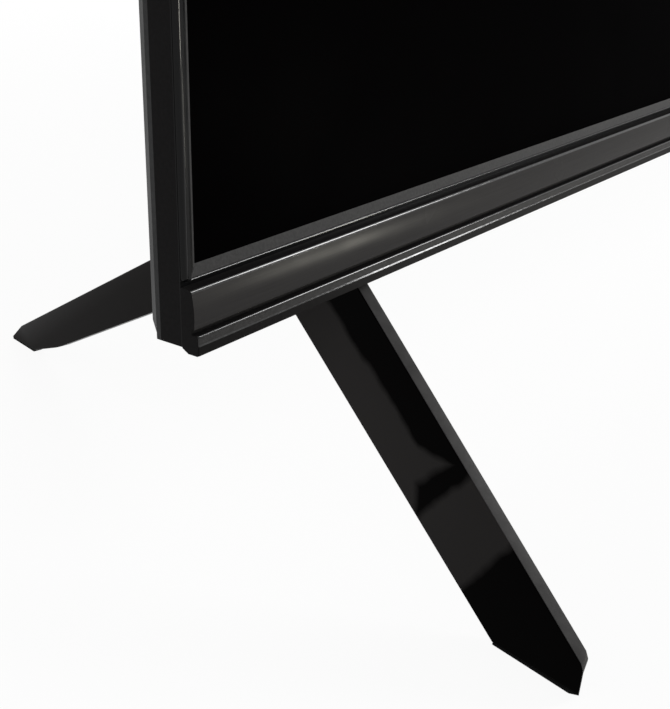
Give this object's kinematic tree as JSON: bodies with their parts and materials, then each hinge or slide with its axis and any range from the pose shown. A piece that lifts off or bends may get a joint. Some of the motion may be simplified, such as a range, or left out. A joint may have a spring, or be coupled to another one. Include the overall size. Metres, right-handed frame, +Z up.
{
  "type": "flat screen tv",
  "caption": "Flat screen television in a slim black frame with a grooved chin bar, on two splayed plate feet, with wall mount bosses, a socket recess, push keys and speakers.",
  "frame": {"origin": "on the floor under the middle of the stance", "axes": "+X to the viewer's right along the screen, +Y from the screen to the back, +Z up"},
  "size_m": [0.9584, 0.2606, 0.6338],
  "materials": {
    "frame_gloss": "glossy moulded black",
    "chin_satin": "satin dark grey with fine hairlines",
    "screen_glass": "anti-glare black glass",
    "inner_plastic": "plain black moulding",
    "circuit_board": "green solder mask",
    "power_circuit_board": "tan laminate",
    "film": "amber film",
    "ribbon": "white ribbon cable",
    "light_sheet": "white sheet",
    "light_bar": "white coated bar",
    "lens_clear": "clear moulded lens",
    "tray_steel": "zinc coated sheet",
    "boss_steel": "turned steel",
    "cover_textured": "fine spark texture",
    "screw_black": "black zinc",
    "heatsink": "anodised",
    "socket_metal": "bright plate",
    "socket_black": "black moulding",
    "core": "ferrite",
    "capacitor": "blue sleeve",
    "pin_brass": "bare brass",
    "key_plastic": "fine matte",
    "window_tint": "dark tinted window",
    "cone_paper": "coated paper",
    "foot_paint": "gloss black paint",
    "pad_rubber": "black rubber"
  },
  "bodies": {
    "set": {"front_frame": "frame_gloss", "chin_bar": "chin_satin", "lcd_panel": "screen_glass", "panel_frame": "inner_plastic", "panel_driver_board": "circuit_board", "panel_films": "film", "panel_ribbon": "ribbon", "prism_sheet": "light_sheet", "diffuser_plate": "light_sheet", "reflector_sheet": "light_sheet", "led_bars": "light_bar", "led_lenses": "lens_clear", "backlight_tray": "tray_steel", "wall_mount_bosses": "boss_steel", "rear_cover": "cover_textured", "rear_cover_screws": "screw_black", "board_standoffs": "boss_steel", "board_screws": "boss_steel", "timing_board": "circuit_board", "main_board": "circuit_board", "processor_heatsink": "heatsink", "hdmi_sockets": "socket_metal", "usb_sockets": "socket_metal", "network_socket": "socket_metal", "antenna_socket": "socket_metal", "headphone_socket": "socket_black", "power_board": "power_circuit_board", "transformer": "core", "mains_capacitors": "capacitor", "mains_inlet": "socket_black", "inlet_pins": "pin_brass", "key_board": "circuit_board", "key_switches": "socket_metal", "ir_board": "circuit_board", "ir_sensor": "socket_black", "ir_window": "window_tint", "left_speaker_box": "inner_plastic", "left_speaker_basket": "tray_steel", "left_speaker_magnet": "core", "left_foot": "foot_paint", "left_foot_bracket": "tray_steel", "right_speaker_box": "inner_plastic", "right_speaker_basket": "tray_steel", "right_speaker_magnet": "core", "right_foot": "foot_paint", "right_foot_bracket": "tray_steel", "foot_pads": "pad_rubber", "foot_screws": "screw_black"},
    "power_key": {"key_power": "key_plastic"},
    "source_key": {"key_source": "key_plastic"},
    "menu_key": {"key_menu": "key_plastic"},
    "channel_up_key": {"key_channel_up": "key_plastic"},
    "channel_down_key": {"key_channel_down": "key_plastic"},
    "volume_up_key": {"key_volume_up": "key_plastic"},
    "volume_down_key": {"key_volume_down": "key_plastic"},
    "left_cone": {"left_speaker_cone": "cone_paper"},
    "right_cone": {"right_speaker_cone": "cone_paper"}
  },
  "joints": [
    {"name": "power_key_press", "type": "slide", "parent": "set", "child": "power_key", "axis": [0, 0, 1], "range_m": [0, 0.0007], "stiffness_N_per_m": 500, "springref_m": -0.0006},
    {"name": "source_key_press", "type": "slide", "parent": "set", "child": "source_key", "axis": [0, 0, 1], "range_m": [0, 0.0007], "stiffness_N_per_m": 500, "springref_m": -0.0006},
    {"name": "menu_key_press", "type": "slide", "parent": "set", "child": "menu_key", "axis": [0, 0, 1], "range_m": [0, 0.0007], "stiffness_N_per_m": 500, "springref_m": -0.0006},
    {"name": "channel_up_key_press", "type": "slide", "parent": "set", "child": "channel_up_key", "axis": [0, 0, 1], "range_m": [0, 0.0007], "stiffness_N_per_m": 500, "springref_m": -0.0006},
    {"name": "channel_down_key_press", "type": "slide", "parent": "set", "child": "channel_down_key", "axis": [0, 0, 1], "range_m": [0, 0.0007], "stiffness_N_per_m": 500, "springref_m": -0.0006},
    {"name": "volume_up_key_press", "type": "slide", "parent": "set", "child": "volume_up_key", "axis": [0, 0, 1], "range_m": [0, 0.0007], "stiffness_N_per_m": 500, "springref_m": -0.0006},
    {"name": "volume_down_key_press", "type": "slide", "parent": "set", "child": "volume_down_key", "axis": [0, 0, 1], "range_m": [0, 0.0007], "stiffness_N_per_m": 500, "springref_m": -0.0006},
    {"name": "left_cone_travel", "type": "slide", "parent": "set", "child": "left_cone", "axis": [0, 0, 1], "range_m": [-0.0008, 0.0008], "stiffness_N_per_m": 1500},
    {"name": "right_cone_travel", "type": "slide", "parent": "set", "child": "right_cone", "axis": [0, 0, 1], "range_m": [-0.0008, 0.0008], "stiffness_N_per_m": 1500}
  ]
}
